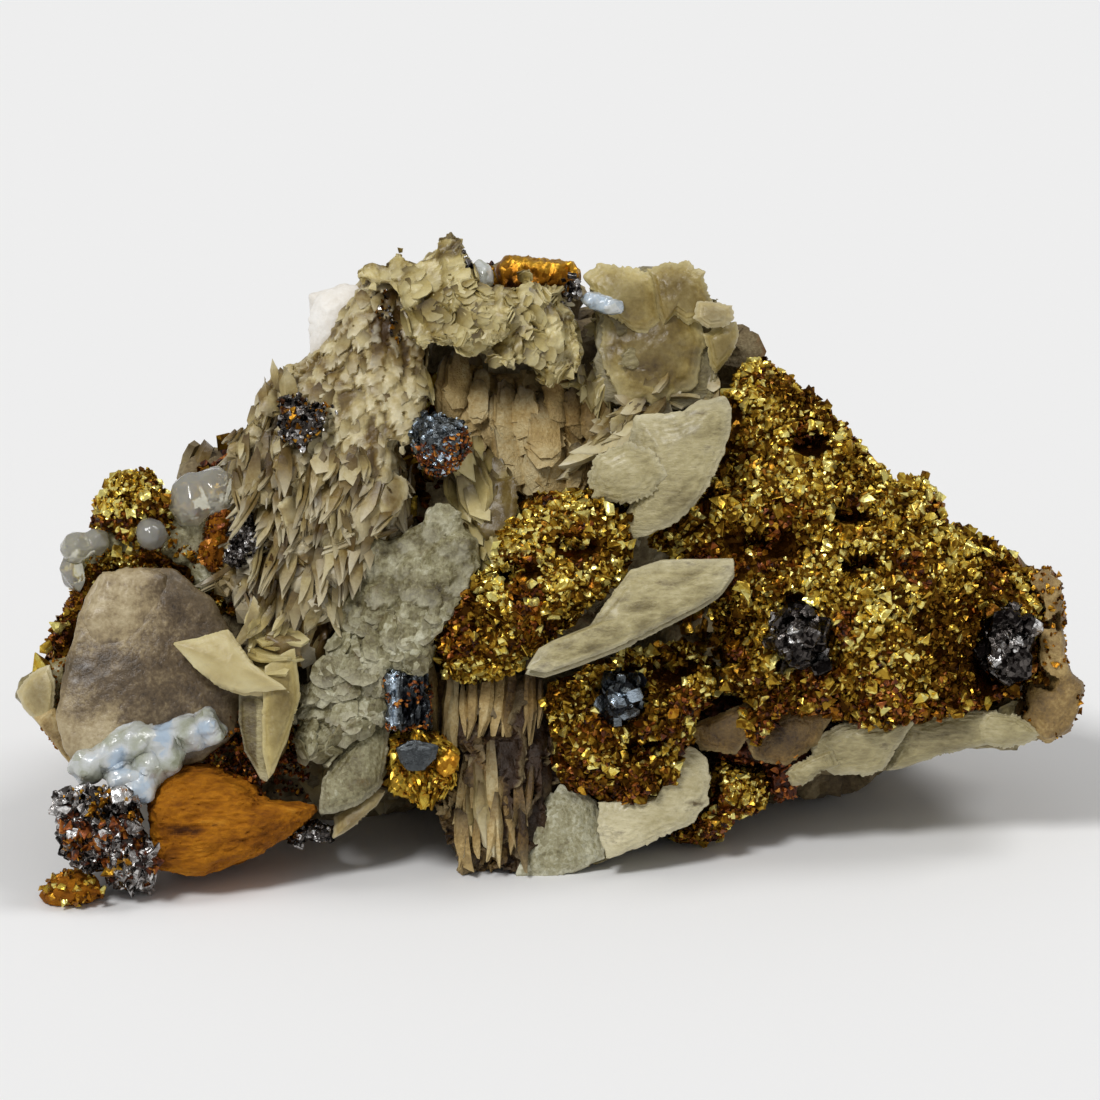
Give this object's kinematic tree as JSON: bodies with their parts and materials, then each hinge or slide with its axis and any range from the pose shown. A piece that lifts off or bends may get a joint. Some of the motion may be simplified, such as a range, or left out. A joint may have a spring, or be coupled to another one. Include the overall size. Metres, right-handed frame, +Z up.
{
  "type": "chalcopyrite mineral specimen",
  "caption": "Chalcopyrite druses on a mass of scaly and disc-shaped pale blades, with dark metallic crystals, clear blebs and rust, resting on a flat underside.",
  "frame": {"origin": "centre of the bounding box at the flat underside", "axes": "+X to the right along the specimen's length, +Y from its crystal face to its back, +Z up"},
  "size_m": [0.1068, 0.0644, 0.0615],
  "materials": {
    "matrix_rock": "dull broken plate rock, grey-brown",
    "tan_scales": "satin tan to cream blades with paler edges",
    "grey_plates": "satin grey-green plates, slightly translucent",
    "smoky_plate": "smoky brown-grey plate with a greasy sheen",
    "white_crystal": "milky white, waxy",
    "clear_crystal": "clear to pale green, wet-looking",
    "rusty_oxide": "dull fibrous rust, orange to dark brown",
    "dark_metallic_crystal": "black with a bright metallic face and blue glints",
    "chalcopyrite": "metallic brass-gold facets with olive and bronze tarnish"
  },
  "bodies": {
    "root": {"blade_column": "tan_scales", "bleb_large": "clear_crystal", "bleb_small": "clear_crystal", "blebs_left": "clear_crystal", "blue_crystal": "dark_metallic_crystal", "bottom_disc": "grey_plates", "brown_zone": "rusty_oxide", "chalcopyrite_band": "chalcopyrite", "chalcopyrite_bottom": "chalcopyrite", "chalcopyrite_left": "chalcopyrite", "chalcopyrite_lower": "chalcopyrite", "chalcopyrite_main": "chalcopyrite", "chalcopyrite_middle": "chalcopyrite", "clear_crust": "clear_crystal", "cream_column": "tan_scales", "dark_ball": "dark_metallic_crystal", "dark_blob": "dark_metallic_crystal", "dark_cluster": "dark_metallic_crystal", "dark_crystal_lower": "dark_metallic_crystal", "dark_crystal_right": "dark_metallic_crystal", "dark_crystal_tip": "dark_metallic_crystal", "dark_grain": "dark_metallic_crystal", "dark_specks": "dark_metallic_crystal", "disc_plate": "grey_plates", "gold_plates": "chalcopyrite", "gold_tip": "chalcopyrite", "granular_plate": "grey_plates", "green_blades": "tan_scales", "grey_disc": "grey_plates", "hood": "tan_scales", "lens_blade": "grey_plates", "lens_crystal": "tan_scales", "matrix": "matrix_rock", "oblique_stack": "tan_scales", "pale_crystal": "white_crystal", "recess_blades": "tan_scales", "right_plates": "grey_plates", "rust_chunk": "rusty_oxide", "rust_ridge": "rusty_oxide", "scaly_flank": "tan_scales", "smoky_disc": "smoky_plate", "tan_plate": "tan_scales", "tip_crust": "rusty_oxide", "top_crust": "rusty_oxide", "upper_plates": "grey_plates", "upright_blades": "tan_scales", "white_crust": "white_crystal", "white_plate": "white_crystal"}
  },
  "joints": []
}
